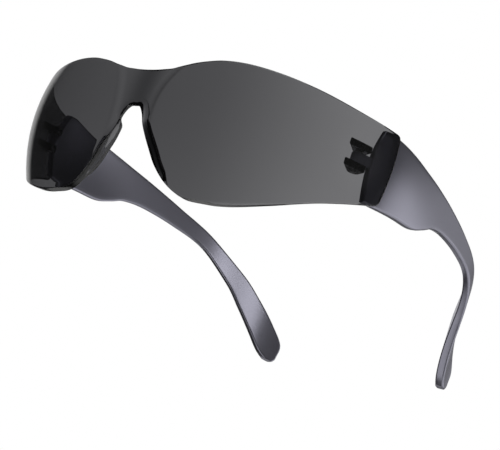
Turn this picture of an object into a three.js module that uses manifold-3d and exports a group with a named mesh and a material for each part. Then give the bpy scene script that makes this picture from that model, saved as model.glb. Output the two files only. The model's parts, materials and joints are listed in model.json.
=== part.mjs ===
// One-piece wraparound safety glasses, opened and standing on a table: a tinted shield with its
// own nose flanges and hinge lugs, two temples that fold on vertical pins, and the two pins.
import * as THREE from 'three';
import { mergeVertices } from 'three/addons/utils/BufferGeometryUtils.js';
import Module from 'manifold-3d';

const wasm = await Module();
wasm.setup();

// Driving dimensions, in millimetres and degrees. The glasses are drawn in the shield's own
// frame: X to the wearer's left, the front face towards -Y, Z up, origin on the bridge.
// s is the length along the shield in plan from its middle, z the height.
// Every edge is a list of [s or u, z] points, and the points of a lower and an upper edge pair up.
const SHIELD_THICKNESS = 2.2;
const SHIELD_STEP = 11;
const SHIELD_HEADINGS = [0, 1.6, 6, 14, 25.3, 38.3, 51.9, 65.4, 78.9];
const CROWN_RADIUS = 53.5;
const CROWN_HEIGHT = 2.9;
const SHIELD_LOWER_EDGE = [
  [0, -0.6], [2.2, -0.9], [4, -3.4], [5.2, -6.4], [7.3, -9.8], [9.8, -13.5], [13, -18.2],
  [17.8, -22.6], [24, -25.3], [32.6, -25.9], [43.5, -24.9], [57, -21.6], [72, -16.3], [88.6, -10.5],
];
const SHIELD_UPPER_EDGE = [
  [0, 11.5], [3.5, 11.6], [6.5, 11.9], [9, 12.2], [11.5, 12.8], [14, 13.4], [17.2, 14.4],
  [21.2, 15.3], [26.5, 16.1], [34, 16.2], [44.2, 15.4], [57.5, 13.9], [72.5, 12.2], [88, 11.6],
];

// The nose flange stands back from the lower edge, from the bridge down both sides of the nose.
const FLANGE_THICKNESS = 2;
const FLANGE_DEPTHS = [3.2, 3, 2.6, 3.7, 4.8, 5, 4.4, 2.6];

// Hinge: the pin stands behind the shield, in its two lugs, with the temple's arm between them.
const HINGE_S = 77.4;
const HINGE_HEIGHT = 0;
const HINGE_DEPTH = 5;
const KNUCKLE_RADIUS = 2;
const LUG_SPACING = 6;
const LUG_THICKNESS = 2;
const ARM_HEIGHT = 3.4;
const PIN_RADIUS = 0.9;
const PIN_HOLE_RADIUS = 1.05;
const PIN_HEAD_RADIUS = 1.5;
const PIN_HEAD_HEIGHT = 0.6;
const SIDE_GAP = 0.3;

// Temple: u is the length along it in plan from its front edge, behind the shield's end.
const TEMPLE_THICKNESS = 2.4;
const PADDLE_THICKNESS = 3;
const PADDLE_START = 85;
const PADDLE_FULL = 105;
const TEMPLE_FRONT_S = 79.8;
const TEMPLE_STEP = 20;
const TEMPLE_HEADINGS = [68.4, 92.4, 99, 101, 108, 128, 106];
const TEMPLE_LOWER_EDGE = [
  [4, -10.6], [8.8, -10.5], [20.7, -9.2], [30.3, -8.1], [36.6, -5.6], [42.1, -3], [51.2, -1.5],
  [65.9, -1.6], [81, -3.7], [94.2, -11.5], [101.6, -18.6], [107.7, -24.9], [112.6, -29.9], [116.5, -32.4],
];
const TEMPLE_UPPER_EDGE = [
  [3.5, 11.4], [8.8, 12], [19, 11.2], [28, 10.2], [34.5, 9.6], [41, 8.9], [51, 7.7],
  [66, 5.3], [83, 1.6], [99, -6.4], [108.2, -13.4], [115.8, -20], [121, -25.4], [120.7, -30.8],
];
const FRONT_BOW = 2.5;
const TIP_BOW = 2;
const CROWN_FADE_START = 20;
const CROWN_FADE_END = 56;

// Resting: how deep the table's plane cuts into the lowest edges, which makes them flat there.
const REST_CUT = 0.3;

const radians = THREE.MathUtils.degToRad;

// Catmull-Rom value at t through equally spaced values, straight beyond both ends.
function valueAt(values, t) {
  const last = values.length - 1;
  const i = Math.min(Math.max(Math.floor(t), 0), last - 1);
  const f = t - i;
  const before = i > 0 ? values[i - 1] : 2 * values[0] - values[1];
  const after = i < last - 1 ? values[i + 2] : 2 * values[last] - values[last - 1];
  const slopeIn = (values[i + 1] - before) / 2;
  const slopeOut = (after - values[i]) / 2;
  const rise = values[i + 1] - values[i];
  return values[i] + f * (slopeIn + f * (3 * rise - 2 * slopeIn - slopeOut
    + f * (slopeIn + slopeOut - 2 * rise)));
}

function edgePoint(edge, t) {
  return [valueAt(edge.map((point) => point[0]), t), valueAt(edge.map((point) => point[1]), t)];
}

// The shield's edges run on through the middle into the other half.
function shieldEdgePoint(edge, t) {
  const [s, z] = edge[1];
  return edgePoint([[-s, z], ...edge], t + 1);
}

// A path in plan that turns through the given headings, one every step; returns the place at s.
function planPath(start, headings, step) {
  const stride = 0.25;
  const places = [start];
  const count = Math.ceil((headings.length * step) / stride);
  for (let i = 0; i < count; i += 1) {
    const heading = radians(valueAt(headings, ((i + 0.5) * stride) / step));
    const [x, y] = places[i];
    places.push([x + stride * Math.cos(heading), y + stride * Math.sin(heading)]);
  }
  return (s) => {
    const i = Math.floor(Math.max(s, 0) / stride);
    const f = s / stride - i;
    const [x0, y0] = places[i];
    const [x1, y1] = places[i + 1];
    return { x: x0 + f * (x1 - x0), y: y0 + f * (y1 - y0), heading: radians(valueAt(headings, s / step)) };
  };
}

const shieldPath = planPath([0, 0], SHIELD_HEADINGS, SHIELD_STEP);

function crown(z) {
  return (z - CROWN_HEIGHT) ** 2 / (2 * CROWN_RADIUS);
}

// Point at plan place `at`, set back by depth towards the wearer's side of the path.
function setBack(at, depth, z) {
  return [at.x - Math.sin(at.heading) * depth, at.y + Math.cos(at.heading) * depth, z];
}

function shieldPoint(s, z, depth) {
  const [x, y] = setBack(shieldPath(Math.abs(s)), depth + crown(z), z);
  return [s < 0 ? -x : x, y, z];
}

const templeStart = setBack(shieldPath(TEMPLE_FRONT_S), SHIELD_THICKNESS + SIDE_GAP, 0);
const templePath = planPath(templeStart.slice(0, 2), TEMPLE_HEADINGS, TEMPLE_STEP);

function templePoint(u, z, depth) {
  const fade = 1 - THREE.MathUtils.smoothstep(u, CROWN_FADE_START, CROWN_FADE_END);
  return setBack(templePath(u), depth + fade * crown(z), z);
}

// Only positions, with shared corners merged.
function closed(geometry) {
  geometry.deleteAttribute('normal');
  geometry.deleteAttribute('uv');
  return mergeVertices(geometry);
}

// A box of columns x layers x rows cells, its corners moved to place(u, v, w), each from 0 to 1.
function warpedBox(columns, layers, rows, place) {
  const geometry = new THREE.BoxGeometry(1, 1, 1, columns, layers, rows);
  const corners = geometry.attributes.position;
  const snapped = (value, cells) => Math.round((value + 0.5) * cells) / cells;
  for (let i = 0; i < corners.count; i += 1) {
    const u = snapped(corners.getX(i), columns);
    const v = snapped(corners.getY(i), layers);
    const w = snapped(corners.getZ(i), rows);
    corners.setXYZ(i, ...place(u, v, w));
  }
  return closed(geometry);
}

function solidOf(geometry) {
  const vertProperties = new Float32Array(geometry.attributes.position.array);
  const triVerts = new Uint32Array(geometry.index.array);
  return new wasm.Manifold(new wasm.Mesh({ numProp: 3, vertProperties, triVerts }));
}

function geometryOf(solid) {
  const { vertProperties, triVerts } = solid.getMesh();
  const geometry = new THREE.BufferGeometry();
  geometry.setAttribute('position', new THREE.BufferAttribute(vertProperties, 3));
  geometry.setIndex(new THREE.BufferAttribute(triVerts, 1));
  return geometry;
}

function mirrored(geometry) {
  const copy = geometry.clone();
  const corners = copy.attributes.position;
  for (let i = 0; i < corners.count; i += 1) corners.setX(i, -corners.getX(i));
  const index = copy.index.array;
  for (let i = 0; i < index.length; i += 3) [index[i], index[i + 1]] = [index[i + 1], index[i]];
  return copy;
}

function shieldSheet() {
  const last = SHIELD_LOWER_EDGE.length - 1;
  return warpedBox(6 * last, 1, 8, (u, v, w) => {
    const side = 2 * u - 1;
    const [lowS, lowZ] = shieldEdgePoint(SHIELD_LOWER_EDGE, Math.abs(side) * last);
    const [highS, highZ] = shieldEdgePoint(SHIELD_UPPER_EDGE, Math.abs(side) * last);
    const s = THREE.MathUtils.lerp(lowS, highS, w);
    const z = THREE.MathUtils.lerp(lowZ, highZ, w);
    return shieldPoint(side < 0 ? -s : s, z, v * SHIELD_THICKNESS);
  });
}

// A wall along the lower edge round the nose, a little inside that edge and rooted in the sheet.
function noseFlange() {
  const last = FLANGE_DEPTHS.length - 1;
  const inset = 0.15;
  const root = 0.8;
  return warpedBox(6 * last, 1, 1, (u, v, w) => {
    const side = 2 * u - 1;
    const t = Math.abs(side) * last;
    const [s, z] = shieldEdgePoint(SHIELD_LOWER_EDGE, t);
    const [nextS, nextZ] = shieldEdgePoint(SHIELD_LOWER_EDGE, t + 0.05);
    const length = Math.hypot(nextS - s, nextZ - z);
    const offset = inset + w * FLANGE_THICKNESS;
    const edgeS = s - (offset * (nextZ - z)) / length;
    const edgeZ = z + (offset * (nextS - s)) / length;
    const depth = THREE.MathUtils.lerp(root, valueAt(FLANGE_DEPTHS, t), v);
    return shieldPoint(t === 0 ? 0 : Math.sign(side) * edgeS, edgeZ, depth);
  });
}

// The hinge's own frame: origin on the pin, X along the shield towards its end, Y inwards, Z up.
function hingePlacement() {
  const at = shieldPath(HINGE_S);
  const placement = new THREE.Matrix4().makeRotationZ(at.heading);
  return placement.setPosition(...setBack(at, HINGE_DEPTH, HINGE_HEIGHT));
}

// A flat plate drawn in the hinge's frame round the pin's hole, centred at the given height.
function knucklePlate(outline, height, thickness) {
  const shape = new THREE.Shape(outline.getPoints(12));
  const hole = new THREE.Path();
  hole.absarc(0, 0, PIN_HOLE_RADIUS, 0, 2 * Math.PI, true);
  shape.holes.push(hole);
  const plate = new THREE.ExtrudeGeometry(shape, { depth: thickness, bevelEnabled: false, curveSegments: 12 });
  plate.translate(0, 0, height - thickness / 2);
  return closed(plate.applyMatrix4(hingePlacement()));
}

// A lug stands on the shield's inner face and widens towards the nose.
function hingeLug(height) {
  const root = SHIELD_THICKNESS - HINGE_DEPTH - 0.5;
  const outline = new THREE.Path();
  outline.moveTo(-6, root);
  outline.lineTo(KNUCKLE_RADIUS, root);
  outline.lineTo(KNUCKLE_RADIUS, 0);
  outline.absarc(0, 0, KNUCKLE_RADIUS, 0, radians(130), false);
  return knucklePlate(outline, height, LUG_THICKNESS);
}

// The arm runs from the pin into the thickness of the temple's front plate.
function templeArm() {
  const outline = new THREE.Path();
  outline.absarc(0, 0, KNUCKLE_RADIUS, radians(70), radians(262), false);
  outline.lineTo(4, -1.9);
  outline.lineTo(7, -1.7);
  outline.lineTo(7, -0.5);
  outline.lineTo(4, -0.2);
  return knucklePlate(outline, 0, ARM_HEIGHT);
}

function templePlate() {
  const last = TEMPLE_LOWER_EDGE.length - 1;
  return warpedBox(5 * last, 1, 6, (u, v, w) => {
    const t = u * last;
    const [lowU, lowZ] = edgePoint(TEMPLE_LOWER_EDGE, t);
    const [highU, highZ] = edgePoint(TEMPLE_UPPER_EDGE, t);
    const round = 1 - (2 * w - 1) ** 2;
    const bow = TIP_BOW * Math.max(t - last + 1, 0) - FRONT_BOW * Math.max(1 - t, 0);
    const along = THREE.MathUtils.lerp(lowU, highU, w) + round * bow;
    const swell = THREE.MathUtils.smoothstep(along, PADDLE_START, PADDLE_FULL);
    const extra = swell * (PADDLE_THICKNESS - TEMPLE_THICKNESS);
    const depth = v * (TEMPLE_THICKNESS + extra) - extra / 2;
    return templePoint(along, THREE.MathUtils.lerp(lowZ, highZ, w), depth);
  });
}

function hingePin() {
  const foot = -LUG_SPACING / 2 - LUG_THICKNESS / 2 - SIDE_GAP;
  const head = LUG_SPACING / 2 + LUG_THICKNESS / 2 + SIDE_GAP;
  const profile = [
    [0, foot], [PIN_RADIUS - 0.2, foot], [PIN_RADIUS, foot + 0.2], [PIN_RADIUS, head],
    [PIN_HEAD_RADIUS, head], [PIN_HEAD_RADIUS, head + PIN_HEAD_HEIGHT / 2],
    [PIN_HEAD_RADIUS - 0.3, head + PIN_HEAD_HEIGHT], [0, head + PIN_HEAD_HEIGHT],
  ];
  const pin = new THREE.LatheGeometry(profile.map(([r, z]) => new THREE.Vector2(r, z)), 16);
  pin.rotateX(Math.PI / 2);
  return closed(pin.applyMatrix4(hingePlacement()));
}

function lowestPoint(geometry, angle) {
  return new THREE.Box3().setFromBufferAttribute(geometry.clone().rotateX(angle).attributes.position).min.z;
}

// The lean at which the shield's lower edge and the temples' tips are equally low.
function restingAngle(shield, temple) {
  let low = 0;
  let high = radians(20);
  for (let i = 0; i < 30; i += 1) {
    const middle = (low + high) / 2;
    if (lowestPoint(temple, middle) < lowestPoint(shield, middle)) low = middle;
    else high = middle;
  }
  return low;
}

let shieldSolid = solidOf(shieldSheet()).add(solidOf(noseFlange()));
for (const height of [LUG_SPACING / 2, -LUG_SPACING / 2]) {
  const lug = hingeLug(height);
  shieldSolid = shieldSolid.add(solidOf(lug)).add(solidOf(mirrored(lug)));
}
const templeSolid = solidOf(templePlate()).add(solidOf(templeArm()));
const pinGeometry = hingePin();

const shieldShape = geometryOf(shieldSolid);
const templeShape = geometryOf(templeSolid);
const lean = restingAngle(shieldShape, templeShape);
const tableHeight = lowestPoint(shieldShape, lean) + REST_CUT;
const wholeBox = new THREE.Box3();
for (const shape of [shieldShape, templeShape]) {
  wholeBox.union(new THREE.Box3().setFromBufferAttribute(shape.clone().rotateX(lean).attributes.position));
}
const middleY = (wholeBox.min.y + wholeBox.max.y) / 2;

// Leans a solid's geometry back onto the table, which is the plane z = 0.
function stood(geometry) {
  return geometry.clone().rotateX(lean).translate(0, -middleY, -tableHeight);
}

// Cuts off what lies below the table.
function restedOnTable(geometry) {
  const table = closed(new THREE.BoxGeometry(300, 300, 20).translate(0, 0, -10));
  return geometryOf(solidOf(stood(geometry)).subtract(solidOf(table)));
}

const smoke = { color: 0x4c4c4e, roughness: 0.08, metalness: 0, transparent: true, opacity: 0.75 };
const greyPlastic = { color: 0x6a6a7c, roughness: 0.35, metalness: 0 };
const steel = { color: 0xb8babd, roughness: 0.3, metalness: 1 };

function piece(name, geometry, look) {
  geometry.computeVertexNormals();
  const mesh = new THREE.Mesh(geometry, new THREE.MeshStandardMaterial(look));
  mesh.name = name;
  return mesh;
}

const group = new THREE.Group();
group.add(
  piece('lens_shield', restedOnTable(shieldShape), smoke),
  piece('temple_left', restedOnTable(templeShape), greyPlastic),
  piece('temple_right', restedOnTable(mirrored(templeShape)), greyPlastic),
  piece('hinge_pin_left', stood(pinGeometry), steel),
  piece('hinge_pin_right', stood(mirrored(pinGeometry)), steel),
);

export default group;
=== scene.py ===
"""One-piece wraparound safety glasses: a smoke-tinted shield, two satin grey temples, two steel pins."""
import json
import math

import bmesh
import bpy
import numpy as np
from mathutils import Matrix, Quaternion, Vector

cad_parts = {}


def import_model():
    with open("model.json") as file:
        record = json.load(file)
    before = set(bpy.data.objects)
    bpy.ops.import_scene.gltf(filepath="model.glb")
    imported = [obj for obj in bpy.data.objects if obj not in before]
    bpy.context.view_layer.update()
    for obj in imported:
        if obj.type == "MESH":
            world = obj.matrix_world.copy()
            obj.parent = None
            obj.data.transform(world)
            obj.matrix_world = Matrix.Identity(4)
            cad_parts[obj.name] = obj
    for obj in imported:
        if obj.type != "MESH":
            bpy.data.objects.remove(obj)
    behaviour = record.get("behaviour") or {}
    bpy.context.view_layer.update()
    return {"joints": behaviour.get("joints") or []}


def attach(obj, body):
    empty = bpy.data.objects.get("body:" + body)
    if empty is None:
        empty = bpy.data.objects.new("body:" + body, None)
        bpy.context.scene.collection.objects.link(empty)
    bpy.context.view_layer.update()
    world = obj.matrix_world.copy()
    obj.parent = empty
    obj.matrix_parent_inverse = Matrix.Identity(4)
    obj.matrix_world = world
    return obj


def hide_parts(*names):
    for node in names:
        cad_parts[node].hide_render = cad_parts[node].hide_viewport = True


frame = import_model()

# ---------------------------------------------------------------------------------------------
# Driving dimensions, in millimetres and degrees, in the shield's own frame: X to the wearer's
# left, the front face towards -Y, Z up, origin on the bridge. s is the length along the shield in
# plan from its middle, u the length along a temple, z the height, depth is towards the wearer.
# In plan the shield and the temples turn through their headings, one every step. An edge is a list
# of points, (s, z) or (u, z), from the front backwards, and the columns say how many mesh columns
# lie between one point of it and the next.

SHIELD_STEP = 11
SHIELD_HEADINGS = [0, 1.6, 6, 14, 25.3, 38.3, 51.9, 65.4, 78.9]
CROWN_RADIUS = 53.5
CROWN_HEIGHT = 2.9
SHIELD_LOWER_EDGE = [
    (0, -0.6), (2.2, -0.9), (4, -3.4), (5.2, -6.4), (7.3, -9.8), (9.8, -13.5), (13, -18.2),
    (17.8, -22.6), (24, -25.3), (32.6, -25.9), (43.5, -24.9), (57, -21.6), (72, -16.3), (88.6, -10.5),
]
SHIELD_UPPER_EDGE = [
    (0, 11.5), (3.5, 11.6), (6.5, 11.9), (9, 12.2), (11.5, 12.8), (14, 13.4), (17.2, 14.4),
    (21.2, 15.3), (26.5, 16.1), (34, 16.2), (44.2, 15.4), (57.5, 13.9), (72.5, 12.2), (88, 11.6),
]
SHIELD_COLUMNS = [3, 3, 6, 6, 6, 6, 6, 6, 7, 9, 10, 12, 14]
SHIELD_ROWS = 36
SHIELD_FILLET = 0.45
SHIELD_CORNER = 1.6
CORNER_STEPS = 6

# The sheet is thickest over the nose and tapers towards the temples, as corrected lenses do.
MIDDLE_THICKNESS = 2.35
END_THICKNESS = 1.6
TAPER_START = 24
TAPER_END = 88
THINNER_UPWARDS = 0.0065
BRIDGE_RIB_HEIGHT = 0.55
BRIDGE_RIB_WIDTH = 4.5

# The bridge lies a little behind the two round eye areas.
EYE_S = 34
EYE_Z = -3
EYE_RADIUS = 26
EYE_STEP = 0.45
EYE_BORDER_START = -0.5
EYE_BORDER_END = 3
BRIDGE_FADE_START = 18
BRIDGE_FADE_END = 24

# Down both sides of the nose the edge rolls back into a flange. The lists give, at each point of
# the lower edge from the middle: the roll's width, the width of the bevel behind the bridge, and
# how deep the flange reaches. A bevel is BEVEL_SLOPE times as deep as wide, but leaves some wall.
# An edge is all flange where that stands out by FLANGE_FULL_HEIGHT. Where there is none, the rings
# that it would use lie close together on the back face.
NOSE_ROLLS = [1.4, 1.6, 2.2, 1.8, 1.2, 0.7, 0.5, 0.45]
BRIDGE_BEVELS = [2.2, 2.5, 2.6, 1.4, 0.6, 0.45, 0.45, 0.45]
ROLL_DEPTH = 0.6
BEVEL_SLOPE = 1.2
LEAST_WALL = 0.1
BACK_STEP = 0.15
FLANGE_THICKNESS = 2
FLANGE_DEPTHS = [2.2, 2.2, 2.2, 3.7, 4.8, 5, 4.4, 2.6]
FLANGE_FILLET = 0.9
FLANGE_FILLET_SHARE = 0.45
FLANGE_FULL_HEIGHT = 1.2
NOSE_EDGE_SAMPLES = 200
NOSE_EDGE_REACH = 0.3

# The hinge: two lugs of the shield, an arm of the temple between them, and a pin through all three.
# ARM_TO_PLATE and the arcs, given as start, end and steps, are in the hinge's frame.
HINGE_S = 77.4
HINGE_HEIGHT = 0
HINGE_DEPTH = 5
KNUCKLE_RADIUS = 2
LUG_SPACING = 6
LUG_THICKNESS = 2
LUG_LENGTH = 6
LUG_SINK = 0.3
LUG_ARC = (0, 130, 12)
ARM_HEIGHT = 3.4
ARM_ARC = (70, 262, 18)
ARM_TO_PLATE = [(4, -1.9), (7, -1.7), (7, -0.5), (4, -0.2)]
SIDE_GAP = 0.3
MOULDED_EDGE = 0.3
HOLE_STEPS = 32
RIM_ANGLE = 60

# The roundings are offsets (radius, height) from the foot of the shank, from its top, and from the
# lower edge of the head.
PIN_RADIUS = 0.9
PIN_HOLE_RADIUS = 1.05
PIN_HEAD_RADIUS = 1.5
PIN_HEAD_HEIGHT = 0.6
PIN_FOOT_ROUNDING = [(-0.25, 0), (-0.06, 0.08), (0, 0.3)]
PIN_NECK_ROUNDING = [(0, -0.08), (0.08, 0)]
PIN_HEAD_ROUNDING = [(-0.05, 0), (0, 0.05), (0, 0.3), (-0.1, 0.48), (-0.35, PIN_HEAD_HEIGHT)]
PIN_STEPS = 40

SHIELD_BACK_AT_TEMPLE = 2.2
TEMPLE_THICKNESS = 2.4
PADDLE_THICKNESS = 3
PADDLE_START = 85
PADDLE_FULL = 105
TEMPLE_FRONT_S = 79.8
TEMPLE_STEP = 20
TEMPLE_HEADINGS = [68.4, 92.4, 99, 101, 108, 128, 106]
TEMPLE_LOWER_EDGE = [
    (4, -10.6), (8.8, -10.5), (20.7, -9.2), (30.3, -8.1), (36.6, -5.6), (42.1, -3), (51.2, -1.5),
    (65.9, -1.6), (81, -3.7), (94.2, -11.5), (101.6, -18.6), (107.7, -24.9), (112.6, -29.9), (116.5, -32.4),
]
TEMPLE_UPPER_EDGE = [
    (3.5, 11.4), (8.8, 12), (19, 11.2), (28, 10.2), (34.5, 9.6), (41, 8.9), (51, 7.7),
    (66, 5.3), (83, 1.6), (99, -6.4), (108.2, -13.4), (115.8, -20), (121, -25.4), (120.7, -30.8),
]
TEMPLE_COLUMNS = [6, 10, 9, 8, 7, 9, 12, 13, 14, 10, 9, 8, 6]
TEMPLE_ROWS = 14
TEMPLE_OUTER_FILLET = 0.8
TEMPLE_INNER_FILLET = 0.6
FRONT_BOW = 2.5
TIP_BOW = 1
TIP_BOW_DIRECTION = (0.36, -0.93)
CROWN_FADE_START = 20
CROWN_FADE_END = 56

MOULDED_SMOOTH_ANGLE = 40
TURNED_SMOOTH_ANGLE = 30
MM = 0.001


# ---------------------------------------------------------------------------------------------
# Curves and surfaces of the glasses, as formulas over arrays.

def smoothstep(x, low, high):
    t = np.clip((x - low) / (high - low), 0, 1)
    return t * t * (3 - 2 * t)


def value_at(values, t):
    """Catmull-Rom value at t through equally spaced values, straight beyond both ends."""
    v = np.asarray(values, float)
    last = len(v) - 1
    i = np.clip(np.floor(t).astype(int), 0, last - 1)
    f = t - i
    padded = np.concatenate([[2 * v[0] - v[1]], v, [2 * v[last] - v[last - 1]]])
    before, start, end, after = (padded[i + k] for k in range(4))
    slope_in = (end - before) / 2
    slope_out = (after - start) / 2
    rise = end - start
    return start + f * (slope_in + f * (3 * rise - 2 * slope_in - slope_out
                                        + f * (slope_in + slope_out - 2 * rise)))


def edge_points(edge, t):
    edge = np.array(edge, float)
    return np.stack([value_at(edge[:, 0], t), value_at(edge[:, 1], t)], -1)


def shield_edge_points(edge, t):
    """Points of a shield edge, with its other half as the run-in to the middle."""
    return edge_points([(-edge[1][0], edge[1][1])] + edge, t + 1)


class PlanPath:
    """A path in plan that turns through the given headings, one every step."""

    STRIDE = 0.25

    def __init__(self, start, headings, step):
        self.headings = headings
        self.step = step
        count = math.ceil(len(headings) * step / self.STRIDE)
        middles = (np.arange(count) + 0.5) * self.STRIDE
        turned = np.radians(value_at(headings, middles / step))
        self.s = np.arange(count + 1) * self.STRIDE
        self.x = start[0] + np.concatenate([[0], np.cumsum(np.cos(turned))]) * self.STRIDE
        self.y = start[1] + np.concatenate([[0], np.cumsum(np.sin(turned))]) * self.STRIDE

    def set_back(self, s, depth, z):
        """Points at length s, set back by depth towards the wearer, at height z."""
        s = np.asarray(s, float)
        heading = np.radians(value_at(self.headings, s / self.step))
        x = np.interp(s, self.s, self.x) - np.sin(heading) * depth
        y = np.interp(s, self.s, self.y) + np.cos(heading) * depth
        return np.stack(np.broadcast_arrays(x, y, z), -1)

    def heading(self, s):
        return math.radians(float(value_at(self.headings, np.array(s / self.step))))


def crown(z):
    """How far the faces curve back at height z."""
    return (z - CROWN_HEIGHT) ** 2 / (2 * CROWN_RADIUS)


shield_path = PlanPath((0, 0), SHIELD_HEADINGS, SHIELD_STEP)


def shield_point(s, z, depth):
    point = shield_path.set_back(np.abs(s), depth + crown(z), z)
    point[..., 0] *= np.where(s < 0, -1, 1)
    return point


temple_start = shield_path.set_back(TEMPLE_FRONT_S, SHIELD_BACK_AT_TEMPLE + SIDE_GAP, 0)
temple_path = PlanPath(temple_start[:2], TEMPLE_HEADINGS, TEMPLE_STEP)


def temple_point(u, z, depth):
    fade = 1 - smoothstep(u, CROWN_FADE_START, CROWN_FADE_END)
    return temple_path.set_back(u, depth + fade * crown(z), z)


def shield_front(s, z):
    """Depth of the front face: 0 in the round eye areas, a little more on the bridge."""
    outside = np.hypot(np.abs(s) - EYE_S, z - EYE_Z) - EYE_RADIUS
    bridge = 1 - smoothstep(np.abs(s), BRIDGE_FADE_START, BRIDGE_FADE_END)
    return EYE_STEP * smoothstep(outside, EYE_BORDER_START, EYE_BORDER_END) * bridge


def shield_thickness(s, z):
    taper = smoothstep(np.abs(s), TAPER_START, TAPER_END)
    rib = BRIDGE_RIB_HEIGHT * np.exp(-(s / BRIDGE_RIB_WIDTH) ** 2)
    return MIDDLE_THICKNESS + taper * (END_THICKNESS - MIDDLE_THICKNESS) + rib - THINNER_UPWARDS * z


# The shield leans back in the row frame. The hinge's axis and place say by how much.
fold = next(joint for joint in frame["joints"] if joint["pos_m"][0] > 0)
lean = math.atan2(-fold["axis"][1], fold["axis"][2])
hinge_place = shield_path.set_back(HINGE_S, HINGE_DEPTH, HINGE_HEIGHT)
leaned = Matrix.Rotation(lean, 4, "X")
row_shift = Vector(fold["pos_m"]) - leaned @ (Vector(hinge_place) * MM)
to_row_frame = Matrix.Translation(row_shift) @ leaned @ Matrix.Scale(MM, 4)


def row_points(points):
    m = np.array(to_row_frame)
    return points @ m[:3, :3].T + m[:3, 3]


# ---------------------------------------------------------------------------------------------
# Mesh making.

def in_scene(name, data):
    obj = bpy.data.objects.new(name, data)
    bpy.context.scene.collection.objects.link(obj)
    return obj


def mesh_object(name, points, faces):
    mesh = bpy.data.meshes.new(name)
    mesh.from_pydata(np.asarray(points).tolist(), [], [list(face) for face in faces])
    mesh.validate()
    return in_scene(name, mesh)


def bmesh_object(name, bm):
    mesh = bpy.data.meshes.new(name)
    bm.to_mesh(mesh)
    bm.free()
    return in_scene(name, mesh)


def normals_outwards(obj):
    bm = bmesh.new()
    bm.from_mesh(obj.data)
    bmesh.ops.recalc_face_normals(bm, faces=bm.faces)
    bm.to_mesh(obj.data)
    bm.free()


def side_samples(columns):
    """Values of t from 0, with the given number of columns from each point to the next."""
    starts = [i + np.arange(n) / n for i, n in enumerate(columns)]
    return np.concatenate(starts + [[len(columns)]])


def rounded_end(edge, far_corner, t, reach):
    """The edge's points, and a round corner at its last one that turns towards far_corner."""
    points = shield_edge_points(edge, t)
    corner = points[-1].copy()
    just_before = 0.05
    back = shield_edge_points(edge, t[-1:] - just_before)[0] - corner
    back /= np.linalg.norm(back)
    onward = np.asarray(far_corner, float) - corner
    onward /= np.linalg.norm(onward)
    turn = np.linspace(0, 1, CORNER_STEPS + 1)[:, None]
    rounding = corner + (1 - turn) ** 2 * reach * back + turn ** 2 * reach * onward
    return np.concatenate([points[:-2], rounding])


def loop_cells(columns, rows):
    """Grid places round the border of a grid, anticlockwise from the first one."""
    cells = [(c, 0) for c in range(columns)]
    cells += [(columns - 1, r) for r in range(1, rows)]
    cells += [(c, rows - 1) for c in range(columns - 2, -1, -1)]
    cells += [(0, r) for r in range(rows - 2, 0, -1)]
    return np.array(cells)


def inward_normals(loop):
    """Unit normals that point inside an anticlockwise closed outline."""
    step_in = loop - np.roll(loop, 1, 0)
    step_out = np.roll(loop, -1, 0) - loop
    length_in = np.linalg.norm(step_in, axis=1, keepdims=True)
    length_out = np.linalg.norm(step_out, axis=1, keepdims=True)
    tangent = step_in / length_in * length_out + step_out / length_out * length_in
    tangent /= np.linalg.norm(tangent, axis=1, keepdims=True)
    return np.stack([-tangent[:, 1], tangent[:, 0]], -1)


def grid_within(grid, cells, border, reach=5):
    """The grid, drawn in so that its border lies on the given points.

    Each column is fitted between its two ends, and what is left over at the first and the last
    column is spread over the next few, reach of them.
    """
    columns, rows = grid.shape[:2]
    placed = np.zeros_like(grid)
    placed[cells[:, 0], cells[:, 1]] = border
    w = np.linspace(0, 1, rows)[None, :, None]
    filled = (1 - w) * placed[:, :1] + w * placed[:, -1:]
    filled += grid - ((1 - w) * grid[:, :1] + w * grid[:, -1:])
    across = np.arange(columns)[:, None, None]
    for end, near in ((0, across), (-1, columns - 1 - across)):
        left_over = placed[end] - filled[end]
        filled += np.clip(1 - near / reach, 0, 1) * left_over[None]
    return filled


def ring_faces(rings, count):
    """Faces from each of the rings to the next, with count points in a ring."""
    faces = []
    for k in range(rings - 1):
        for i in range(count):
            j = (i + 1) % count
            faces.append((k * count + i, k * count + j, (k + 1) * count + j, (k + 1) * count + i))
    return faces


def grid_faces(number, turned):
    """Faces between the numbered points of a grid."""
    faces = []
    for c in range(number.shape[0] - 1):
        for r in range(number.shape[1] - 1):
            face = (number[c, r], number[c + 1, r], number[c + 1, r + 1], number[c, r + 1])
            faces.append(face[::-1] if turned else face)
    return faces


def sheet_mesh(name, grid, profile, face_depths, place):
    """A closed sheet: two faces over a grid of outline places, joined by an edge profile.

    profile(border, inwards) returns how far in from the outline and how deep each ring of the
    edge lies, face_depths are the depths of the front and the back as functions of the outline
    place, and place turns both into points.
    """
    cells = loop_cells(*grid.shape[:2])
    border = grid[cells[:, 0], cells[:, 1]]
    inwards = inward_normals(border)
    inset, depth = profile(border, inwards)
    rings = border[None] + inset[..., None] * inwards[None]
    count = len(cells)
    points = [place(rings[..., 0], rings[..., 1], depth).reshape(-1, 3)]
    faces = ring_faces(len(rings), count)
    total = len(rings) * count
    for ring, face_depth in zip((0, len(rings) - 1), face_depths):
        inner = grid_within(grid, cells, rings[ring])
        number = np.full(grid.shape[:2], -1)
        number[cells[:, 0], cells[:, 1]] = ring * count + np.arange(count)
        free = np.argwhere(number < 0)
        number[free[:, 0], free[:, 1]] = total + np.arange(len(free))
        total += len(free)
        s, z = inner[free[:, 0], free[:, 1]].T
        points.append(place(s, z, face_depth(s, z)))
        faces += grid_faces(number, turned=ring == 0)
    placed = row_points(np.concatenate(points))
    placed[:, 2] = np.maximum(placed[:, 2], 0)
    obj = mesh_object(name, placed, faces)
    normals_outwards(obj)
    return obj


def arc(start, end, steps):
    return np.linspace(math.radians(start), math.radians(end), steps + 1)


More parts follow.
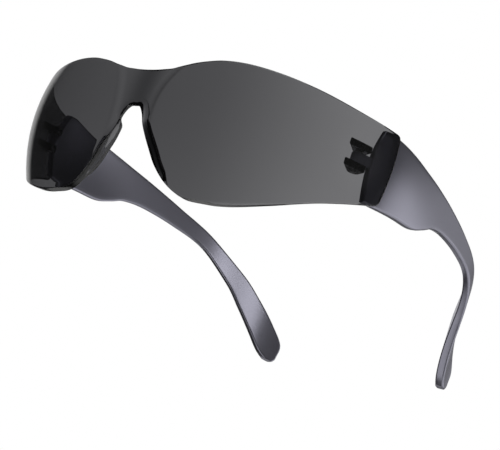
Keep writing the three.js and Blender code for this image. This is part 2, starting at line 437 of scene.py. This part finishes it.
def circle_points(radius, start, end, steps):
    return [(radius * math.cos(a), radius * math.sin(a)) for a in arc(start, end, steps)]


# ---------------------------------------------------------------------------------------------
# The shield. Its edge is a stack of rings: a roll at the front, a wall, a turn at the rear, then the
# inner side and the root, which only a flange makes use of.

FRONT_TURNS = arc(0, 90, 6)
WALL_STEPS = np.linspace(0, 1, 4)[1:]
REAR_TURNS = arc(0, 180, 10)[1:]
INNER_STEPS = np.linspace(0, 1, 5)[1:]
ROOT_TURNS = arc(0, 90, 5)[1:]


def nose_values(border, values, elsewhere):
    """Values given along the nose's edge at each point of the outline, and another one elsewhere."""
    s = np.abs(border[:, 0])
    t = np.linspace(0, len(values) - 1, NOSE_EDGE_SAMPLES)
    along = shield_edge_points(SHIELD_LOWER_EDGE, t)
    gap = np.hypot(s[:, None] - along[None, :, 0], border[:, 1, None] - along[None, :, 1])
    nearest = gap.argmin(1)
    return np.where(gap.min(1) < NOSE_EDGE_REACH, value_at(values, t[nearest]), elsewhere)


def front_rings(roll, roll_depth):
    return [(roll * (1 - math.sin(a)), roll_depth * (1 - math.cos(a))) for a in FRONT_TURNS]


def plain_rings(thickness, roll, roll_depth, bevel, bevel_depth):
    """Insets and depths of the rings where the edge has no flange."""
    rings = front_rings(roll, roll_depth)
    for step in WALL_STEPS:
        rings.append((0, roll_depth + step * (thickness - roll_depth - bevel_depth)))
    for turn in REAR_TURNS / 2:
        rings.append((bevel * (1 - math.cos(turn)), thickness - bevel_depth * (1 - math.sin(turn))))
    for step in INNER_STEPS:
        rings.append((bevel + BACK_STEP * step, thickness))
    for turn in ROOT_TURNS:
        rings.append((bevel + BACK_STEP + BACK_STEP * math.sin(turn), thickness))
    return rings


def flange_rings(thickness, roll, roll_depth, height):
    """Insets and depths of the rings round a flange that stands out by height behind the sheet."""
    tip = thickness + height
    half = FLANGE_THICKNESS / 2
    round_end = np.minimum(half, height / 2)
    root = np.minimum(FLANGE_FILLET, FLANGE_FILLET_SHARE * height)
    rings = front_rings(roll, roll_depth)
    for step in WALL_STEPS:
        rings.append((0, roll_depth + step * (tip - round_end - roll_depth)))
    for turn in REAR_TURNS:
        rings.append((half * (1 - math.cos(turn)), tip - round_end * (1 - math.sin(turn))))
    for step in INNER_STEPS:
        rings.append((FLANGE_THICKNESS, tip - round_end + step * (thickness + root - tip + round_end)))
    for turn in ROOT_TURNS:
        inset = FLANGE_THICKNESS + root * (1 - math.cos(turn))
        rings.append((inset, thickness + root * (1 - math.sin(turn))))
    return rings


def shield_profile(border, inwards):
    thickness = shield_thickness(border[:, 0], border[:, 1])
    height = np.maximum(nose_values(border, FLANGE_DEPTHS, 0) - thickness, 0)
    roll = nose_values(border, NOSE_ROLLS, SHIELD_FILLET)
    roll_depth = np.minimum(roll, ROLL_DEPTH)
    bevel = nose_values(border, BRIDGE_BEVELS, SHIELD_FILLET)
    bevel_depth = np.minimum(BEVEL_SLOPE * bevel, thickness - roll_depth - LEAST_WALL)
    plain = plain_rings(thickness, roll, roll_depth, bevel, bevel_depth)
    flange = flange_rings(thickness, roll, roll_depth, height)
    share = smoothstep(height, 0, FLANGE_FULL_HEIGHT)
    inset = np.array([(1 - share) * p[0] + share * f[0] for p, f in zip(plain, flange)])
    depth = np.array([(1 - share) * p[1] + share * f[1] for p, f in zip(plain, flange)])
    places = border[None] + inset[..., None] * inwards[None]
    s, z = places[..., 0], places[..., 1]
    from_back = np.linspace(0, 1, len(inset))[:, None] ** 2
    depth = depth + from_back * (shield_thickness(s, z) - thickness[None])
    return inset, depth + shield_front(s, z)


def shield_grid():
    t = side_samples(SHIELD_COLUMNS)
    lower = rounded_end(SHIELD_LOWER_EDGE, SHIELD_UPPER_EDGE[-1], t, SHIELD_CORNER)
    upper = rounded_end(SHIELD_UPPER_EDGE, SHIELD_LOWER_EDGE[-1], t, SHIELD_CORNER)
    w = np.linspace(0, 1, SHIELD_ROWS)[None, :, None]
    half = (1 - w) * lower[:, None] + w * upper[:, None]
    other = half[:0:-1] * np.array([-1, 1])
    return np.concatenate([other, half])


def shield_back(s, z):
    return shield_front(s, z) + shield_thickness(s, z)


def hinge_frame(side):
    """The hinge's own frame: origin on the pin, X along the shield to its end, Y inwards, Z up."""
    turn = Matrix.Rotation(shield_path.heading(HINGE_S), 4, "Z")
    placed = to_row_frame @ Matrix.Translation(Vector(hinge_place)) @ turn
    return Matrix.Scale(side, 4, Vector((1, 0, 0))) @ placed


def knuckle_plate(name, outline, height, thickness, side):
    """A flat plate with soft edges, drawn in the hinge's frame, with the pin's hole."""
    bm = bmesh.new()
    hole = circle_points(PIN_HOLE_RADIUS, 0, 360, HOLE_STEPS)[:-1]
    low = height - thickness / 2
    edges = []
    for loop in (outline, hole):
        verts = [bm.verts.new((x, y, low)) for x, y in loop]
        edges += [bm.edges.new((a, b)) for a, b in zip(verts, verts[1:] + verts[:1])]
    bmesh.ops.triangle_fill(bm, use_beauty=True, edges=edges)
    lifted = bmesh.ops.extrude_face_region(bm, geom=list(bm.faces))
    moved = [v for v in lifted["geom"] if isinstance(v, bmesh.types.BMVert)]
    bmesh.ops.translate(bm, verts=moved, vec=(0, 0, thickness))
    bmesh.ops.recalc_face_normals(bm, faces=bm.faces)
    rims = [e for e in bm.edges if e.calc_face_angle(0) > math.radians(RIM_ANGLE)
            and abs(e.verts[0].co.z - e.verts[1].co.z) < thickness / 2]
    bmesh.ops.bevel(bm, geom=rims, offset=MOULDED_EDGE, segments=3, profile=0.5, affect="EDGES")
    bmesh.ops.transform(bm, matrix=hinge_frame(side), verts=bm.verts)
    bmesh.ops.recalc_face_normals(bm, faces=bm.faces)
    return bmesh_object(name, bm)


def hinge_lug(height, side):
    """A lug that starts inside the sheet and is rounded where the pin goes through."""
    root = END_THICKNESS - HINGE_DEPTH - LUG_SINK
    outline = [(-LUG_LENGTH, root), (KNUCKLE_RADIUS, root)] + circle_points(KNUCKLE_RADIUS, *LUG_ARC)
    return knuckle_plate("lug", outline, height, LUG_THICKNESS, side)


def temple_arm(side):
    outline = circle_points(KNUCKLE_RADIUS, *ARM_ARC) + ARM_TO_PLATE
    return knuckle_plate("arm", outline, 0, ARM_HEIGHT, side)


def join_solids(base, others):
    """Makes base one closed body with the others, which are used up."""
    for other in others:
        modifier = base.modifiers.new("join", "BOOLEAN")
        modifier.operation = "UNION"
        modifier.solver = "EXACT"
        modifier.object = other
        bpy.context.view_layer.update()
        evaluated = base.evaluated_get(bpy.context.evaluated_depsgraph_get())
        joined = bpy.data.meshes.new_from_object(evaluated)
        base.modifiers.clear()
        base.data = joined
        bpy.data.objects.remove(other)
    return base


def smooth_shaded(obj, angle):
    obj.data.polygons.foreach_set("use_smooth", [True] * len(obj.data.polygons))
    obj.data.set_sharp_from_angle(angle=math.radians(angle))


def make_shield():
    grid = shield_grid()
    shield = sheet_mesh("shield", grid, shield_profile, (shield_front, shield_back), shield_point)
    heights = (LUG_SPACING / 2, -LUG_SPACING / 2)
    join_solids(shield, [hinge_lug(height, side) for height in heights for side in (1, -1)])
    smooth_shaded(shield, MOULDED_SMOOTH_ANGLE)
    return shield


# ---------------------------------------------------------------------------------------------
# The temples.

TEMPLE_TURNS = arc(0, 90, 5)


def temple_grid():
    """The temple's outline filled in, with its front end and its tip bowed outwards."""
    t = side_samples(TEMPLE_COLUMNS)
    lower = edge_points(TEMPLE_LOWER_EDGE, t)
    upper = edge_points(TEMPLE_UPPER_EDGE, t)
    w = np.linspace(0, 1, TEMPLE_ROWS)[None, :, None]
    grid = (1 - w) * lower[:, None] + w * upper[:, None]
    last = len(TEMPLE_COLUMNS)
    tip = TIP_BOW * np.maximum(t - last + 1, 0)
    front = FRONT_BOW * np.maximum(1 - t, 0)
    bow = np.stack([TIP_BOW_DIRECTION[0] * tip - front, TIP_BOW_DIRECTION[1] * tip], axis=-1)
    grid += (1 - (2 * w - 1) ** 2) * bow[:, None]
    return grid


def temple_swell(u):
    """How much thicker the ear paddle is than the rest, half of it on each face."""
    return smoothstep(u, PADDLE_START, PADDLE_FULL) * (PADDLE_THICKNESS - TEMPLE_THICKNESS)


def temple_outer(u, z):
    return -temple_swell(u) / 2


def temple_inner(u, z):
    return TEMPLE_THICKNESS + temple_swell(u) / 2


def temple_profile(border, inwards):
    u = border[:, 0]
    thickness = TEMPLE_THICKNESS + temple_swell(u)
    inset, depth = [], []
    for turn in TEMPLE_TURNS:
        inset.append(np.full_like(u, TEMPLE_OUTER_FILLET * (1 - math.sin(turn))))
        depth.append(np.full_like(u, TEMPLE_OUTER_FILLET * (1 - math.cos(turn))))
    for turn in TEMPLE_TURNS:
        inset.append(np.full_like(u, TEMPLE_INNER_FILLET * (1 - math.cos(turn))))
        depth.append(thickness - TEMPLE_INNER_FILLET * (1 - math.sin(turn)))
    inset, depth = np.array(inset), np.array(depth)
    places = border[None] + inset[..., None] * inwards[None]
    return inset, depth + temple_outer(places[..., 0], places[..., 1])


def make_temple(name, side):
    def place(u, z, depth):
        point = temple_point(u, z, depth)
        point[..., 0] *= side
        return point

    temple = sheet_mesh(name, temple_grid(), temple_profile, (temple_outer, temple_inner), place)
    join_solids(temple, [temple_arm(side)])
    smooth_shaded(temple, MOULDED_SMOOTH_ANGLE)
    return temple


# ---------------------------------------------------------------------------------------------
# The pins.

def make_pin(name, side):
    foot = -LUG_SPACING / 2 - LUG_THICKNESS / 2 - SIDE_GAP
    head = LUG_SPACING / 2 + LUG_THICKNESS / 2 + SIDE_GAP
    profile = [(0, foot)]
    profile += [(PIN_RADIUS + r, foot + z) for r, z in PIN_FOOT_ROUNDING]
    profile += [(PIN_RADIUS + r, head + z) for r, z in PIN_NECK_ROUNDING]
    profile += [(PIN_HEAD_RADIUS + r, head + z) for r, z in PIN_HEAD_ROUNDING]
    profile += [(0, head + PIN_HEAD_HEIGHT)]
    bm = bmesh.new()
    verts = [bm.verts.new((r, 0, z)) for r, z in profile]
    edges = [bm.edges.new(pair) for pair in zip(verts, verts[1:])]
    bmesh.ops.spin(bm, geom=verts + edges, cent=(0, 0, 0), axis=(0, 0, 1),
                   angle=2 * math.pi, steps=PIN_STEPS, use_merge=True)
    bmesh.ops.remove_doubles(bm, verts=bm.verts, dist=1e-4)
    bmesh.ops.transform(bm, matrix=hinge_frame(side), verts=bm.verts)
    bmesh.ops.recalc_face_normals(bm, faces=bm.faces)
    pin = bmesh_object(name, bm)
    smooth_shaded(pin, TURNED_SMOOTH_ANGLE)
    return pin


# ---------------------------------------------------------------------------------------------
# Materials. Noise scales are per metre, bump depths in metres, colours linear.

SMOKE_IOR = 1.585
SMOKE_TINT = (0.0, 0.0, 0.02, 1)
SMOKE_DENSITY = 1000
HAZE_SCALE = 300
HAZE_ROUGHNESS = (0.0, 0.03)

PIGMENT_METALLIC = 0.85
PIGMENT_COLOURS = [(0.46, 0.455, 0.545, 1), (0.51, 0.505, 0.60, 1)]
PIGMENT_SCALE = 60
GRAIN_SCALE = 4200
GRAIN_ROUGHNESS = (0.26, 0.36)
GRAIN_STRENGTH = 0.25
GRAIN_DEPTH = 0.00004

STEEL_COLOURS = [(0.50, 0.50, 0.51, 1), (0.66, 0.66, 0.67, 1)]
STEEL_SCALE = 2500
STEEL_ROUGHNESS = (0.22, 0.4)


def new_material(name):
    material = bpy.data.materials.new(name)
    material.use_nodes = True
    nodes = material.node_tree.nodes
    return material, nodes, material.node_tree.links, nodes["Principled BSDF"]


def object_noise(nodes, links, scale, detail):
    coordinates = nodes.new("ShaderNodeTexCoord")
    noise = nodes.new("ShaderNodeTexNoise")
    noise.inputs["Scale"].default_value = scale
    noise.inputs["Detail"].default_value = detail
    links.new(coordinates.outputs["Object"], noise.inputs["Vector"])
    return noise.outputs["Fac"]


def mapped(nodes, links, value, low, high):
    node = nodes.new("ShaderNodeMapRange")
    node.inputs["To Min"].default_value = low
    node.inputs["To Max"].default_value = high
    links.new(value, node.inputs["Value"])
    return node.outputs["Result"]


def between(nodes, links, value, colours):
    """A colour between two, as the value goes from 0 to 1."""
    node = nodes.new("ShaderNodeMix")
    node.data_type = "RGBA"
    node.inputs["A"].default_value, node.inputs["B"].default_value = colours
    links.new(value, node.inputs["Factor"])
    return node.outputs["Result"]


def bumped(nodes, links, value, strength, distance):
    node = nodes.new("ShaderNodeBump")
    node.inputs["Strength"].default_value = strength
    node.inputs["Distance"].default_value = distance
    links.new(value, node.inputs["Height"])
    return node.outputs["Normal"]


def smoke_polycarbonate():
    """Polished clear plastic that absorbs as light goes through, so thick places are darker."""
    material, nodes, links, shader = new_material("smoke_polycarbonate")
    shader.inputs["Base Color"].default_value = (1, 1, 1, 1)
    shader.inputs["Transmission Weight"].default_value = 1
    shader.inputs["IOR"].default_value = SMOKE_IOR
    haze = object_noise(nodes, links, HAZE_SCALE, detail=3)
    links.new(mapped(nodes, links, haze, *HAZE_ROUGHNESS), shader.inputs["Roughness"])
    absorption = nodes.new("ShaderNodeVolumeAbsorption")
    absorption.inputs["Color"].default_value = SMOKE_TINT
    absorption.inputs["Density"].default_value = SMOKE_DENSITY
    links.new(absorption.outputs[0], nodes["Material Output"].inputs["Volume"])
    return material


def satin_plastic():
    """Moulded plastic with a fine metallic pigment."""
    material, nodes, links, shader = new_material("satin_grey_plastic")
    shader.inputs["Metallic"].default_value = PIGMENT_METALLIC
    patches = object_noise(nodes, links, PIGMENT_SCALE, detail=2)
    links.new(between(nodes, links, patches, PIGMENT_COLOURS), shader.inputs["Base Color"])
    grain = object_noise(nodes, links, GRAIN_SCALE, detail=2)
    links.new(mapped(nodes, links, grain, *GRAIN_ROUGHNESS), shader.inputs["Roughness"])
    bump = bumped(nodes, links, grain, GRAIN_STRENGTH, GRAIN_DEPTH)
    links.new(bump, shader.inputs["Normal"])
    return material


def turned_steel():
    material, nodes, links, shader = new_material("turned_steel")
    shader.inputs["Metallic"].default_value = 1
    marks = object_noise(nodes, links, STEEL_SCALE, detail=3)
    links.new(between(nodes, links, marks, STEEL_COLOURS), shader.inputs["Base Color"])
    links.new(mapped(nodes, links, marks, *STEEL_ROUGHNESS), shader.inputs["Roughness"])
    return material


# ---------------------------------------------------------------------------------------------
# Studio: a white surround, a far pale floor, soft lights and the camera. Lengths are in metres.
# Azimuth 0 is towards -Y, 90 towards +X.

DOME_RADIUS = 3
DARK_ROOM = 0.03
SOFT_LIGHTS = [
    # azimuth, elevation, radius of the bright middle, radius at which it has faded, brightness
    (88, 12, 10, 22, 0.1),
    (141, 1, 9, 24, 0.68),
    (140, 28, 6, 20, 0.1),
    (166, 10, 12, 26, 0.34),
    (212, 16, 8, 22, 0.45),
    (240, 18, 10, 24, 0.55),
    (222, -26, 5, 18, 0.45),
    (160, -36, 14, 40, 0.6),
    (0, -72, 15, 36, 0.6),
]
WHITE_BAND = 42
WHITE_BAND_FADED = 60

TOP_AZIMUTH = -20
TOP_ELEVATION = 65
TOP_DISTANCE = 1.2
TOP_SIZE = 0.8
TOP_POWER = 1.5

CARD_FROM_HINGE = (-0.023562, 0.061561, 0.009348)
CARD_TARGET_FROM_HINGE = (-0.106562, 0.088561, -0.012652)
CARD_SIZE = (0.054, 0.056)
CARD_LEAN = -28
CARD_POWER = 0.0028
CARD_SPREAD = 100

FLOOR_HEIGHT = -0.45
FLOOR_SIZE = 4
FLOOR_COLOUR = (0.85, 0.85, 0.85, 1)
FLOOR_ROUGHNESS = 0.9
FLOOR_GLOW = 0.5

VIEW_AZIMUTH = 41.62
VIEW_ELEVATION = -18.05
VIEW_ROLL = 20.98
CAMERA_FROM_HINGE = (0.30758, -0.37870, -0.18880)
CAMERA_LENS = 130.9
CAMERA_SENSOR = 36
CAMERA_CLIP = 0.01


def direction(azimuth, elevation):
    a, e = math.radians(azimuth), math.radians(elevation)
    return Vector((math.sin(a) * math.cos(e), -math.cos(a) * math.cos(e), math.sin(e)))


def world():
    made = bpy.data.worlds.new("studio")
    bpy.context.scene.world = made
    made.use_nodes = True
    background = made.node_tree.nodes["Background"]
    background.inputs["Color"].default_value = (1, 1, 1, 1)
    background.inputs["Strength"].default_value = 1


def faded(nodes, links, value, start, end, low, high):
    node = nodes.new("ShaderNodeMapRange")
    node.interpolation_type = "SMOOTHSTEP"
    node.inputs["From Min"].default_value = start
    node.inputs["From Max"].default_value = end
    node.inputs["To Min"].default_value = low
    node.inputs["To Max"].default_value = high
    links.new(value, node.inputs["Value"])
    return node.outputs["Result"]


def added(nodes, links, first, second):
    node = nodes.new("ShaderNodeMath")
    node.operation = "ADD"
    links.new(first, node.inputs[0])
    links.new(second, node.inputs[1])
    return node.outputs[0]


def patches_of_light(nodes, links, outwards):
    """The soft lights, each a bright patch that fades out round its own direction."""
    total = None
    for azimuth, elevation, bright, dark, brightness in SOFT_LIGHTS:
        nearness = nodes.new("ShaderNodeVectorMath")
        nearness.operation = "DOT_PRODUCT"
        links.new(outwards, nearness.inputs[0])
        nearness.inputs[1].default_value = direction(azimuth, elevation)
        patch = faded(nodes, links, nearness.outputs["Value"], math.cos(math.radians(dark)),
                      math.cos(math.radians(bright)), DARK_ROOM / len(SOFT_LIGHTS), brightness)
        total = patch if total is None else added(nodes, links, total, patch)
    return total


def band_of_white(nodes, links, outwards):
    """White round the horizon, dark above and below."""
    height = nodes.new("ShaderNodeSeparateXYZ")
    links.new(outwards, height.inputs[0])
    size = nodes.new("ShaderNodeMath")
    size.operation = "ABSOLUTE"
    links.new(height.outputs["Z"], size.inputs[0])
    return faded(nodes, links, size.outputs[0], math.sin(math.radians(WHITE_BAND)),
                 math.sin(math.radians(WHITE_BAND_FADED)), 1, DARK_ROOM)


def dome_material():
    """The band for rays that come through the shield, the patches for all others."""
    material = bpy.data.materials.new("light_dome")
    material.use_nodes = True
    nodes, links = material.node_tree.nodes, material.node_tree.links
    nodes.remove(nodes["Principled BSDF"])
    coordinates = nodes.new("ShaderNodeTexCoord")
    outwards = nodes.new("ShaderNodeVectorMath")
    outwards.operation = "NORMALIZE"
    links.new(coordinates.outputs["Object"], outwards.inputs[0])
    path = nodes.new("ShaderNodeLightPath")
    strength = nodes.new("ShaderNodeMix")
    links.new(path.outputs["Is Transmission Ray"], strength.inputs["Factor"])
    links.new(patches_of_light(nodes, links, outwards.outputs["Vector"]), strength.inputs["A"])
    links.new(band_of_white(nodes, links, outwards.outputs["Vector"]), strength.inputs["B"])
    glow = nodes.new("ShaderNodeEmission")
    links.new(strength.outputs["Result"], glow.inputs["Strength"])
    links.new(glow.outputs[0], nodes["Material Output"].inputs["Surface"])
    return material


def light_dome():
    """A dark dome that holds the soft lights. The camera itself sees only the white surround."""
    bm = bmesh.new()
    bmesh.ops.create_icosphere(bm, subdivisions=4, radius=DOME_RADIUS)
    dome = bmesh_object("light_dome", bm)
    dome.data.materials.append(dome_material())
    dome.visible_camera = False


def area_light(name, shape, size, power, place, turn):
    """A soft light that the camera doesn't see."""
    data = bpy.data.lights.new(name, "AREA")
    data.shape = shape
    data.size, data.size_y = size
    data.energy = power
    light = in_scene(name, data)
    light.location = place
    light.rotation_mode = "QUATERNION"
    light.rotation_quaternion = turn
    light.visible_camera = False
    return light


def top_light():
    place = TOP_DISTANCE * direction(TOP_AZIMUTH, TOP_ELEVATION)
    turn = (-place).to_track_quat("-Z", "Y")
    area_light("top", "DISK", (TOP_SIZE, TOP_SIZE), TOP_POWER, place, turn)


def card_light():
    """A small card inside the glasses, for the inner face of the right temple."""
    place = Vector(fold["pos_m"]) + Vector(CARD_FROM_HINGE)
    target = Vector(fold["pos_m"]) + Vector(CARD_TARGET_FROM_HINGE)
    aim = (target - place).to_track_quat("-Z", "Y")
    lean = Quaternion((0, 0, 1), math.radians(CARD_LEAN))
    light = area_light("card", "ELLIPSE", CARD_SIZE, CARD_POWER, place, aim @ lean)
    light.data.spread = math.radians(CARD_SPREAD)
    light.visible_transmission = False


def floor():
    corners = [(-1, -1), (1, -1), (1, 1), (-1, 1)]
    places = [(x * FLOOR_SIZE, y * FLOOR_SIZE, FLOOR_HEIGHT) for x, y in corners]
    obj = mesh_object("floor", places, [(0, 1, 2, 3)])
    material, _, _, shader = new_material("pale_floor")
    shader.inputs["Base Color"].default_value = FLOOR_COLOUR
    shader.inputs["Roughness"].default_value = FLOOR_ROUGHNESS
    shader.inputs["Emission Color"].default_value = (1, 1, 1, 1)
    shader.inputs["Emission Strength"].default_value = FLOOR_GLOW
    obj.data.materials.append(material)
    obj.visible_glossy = False
    obj.visible_diffuse = False


def camera():
    data = bpy.data.cameras.new("camera")
    data.lens = CAMERA_LENS
    data.sensor_width = CAMERA_SENSOR
    data.clip_start = CAMERA_CLIP
    obj = in_scene("camera", data)
    forward = -direction(VIEW_AZIMUTH, VIEW_ELEVATION)
    level = forward.cross(Vector((0, 0, 1))).normalized()
    right = Matrix.Rotation(math.radians(-VIEW_ROLL), 3, forward) @ level
    up = right.cross(forward)
    turned = Matrix((right, up, -forward)).transposed().to_4x4()
    place = Vector(fold["pos_m"]) + Vector(CAMERA_FROM_HINGE)
    obj.matrix_world = Matrix.Translation(place) @ turned
    bpy.context.scene.camera = obj


def finish_piece(piece, body, node, material):
    piece.data.materials.clear()
    piece.data.materials.append(material)
    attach(piece, body)
    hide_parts(node)


shield_material = smoke_polycarbonate()
temple_material = satin_plastic()
steel_material = turned_steel()
finish_piece(make_shield(), "front", "lens_shield", shield_material)
for side_name, side in (("left", 1), ("right", -1)):
    finish_piece(make_temple(f"{side_name}_temple", side), f"{side_name}_temple",
                 f"temple_{side_name}", temple_material)
    finish_piece(make_pin(f"{side_name}_pin", side), "front",
                 f"hinge_pin_{side_name}", steel_material)

world()
light_dome()
top_light()
card_light()
floor()
camera()
bpy.context.scene.view_settings.view_transform = "Standard"
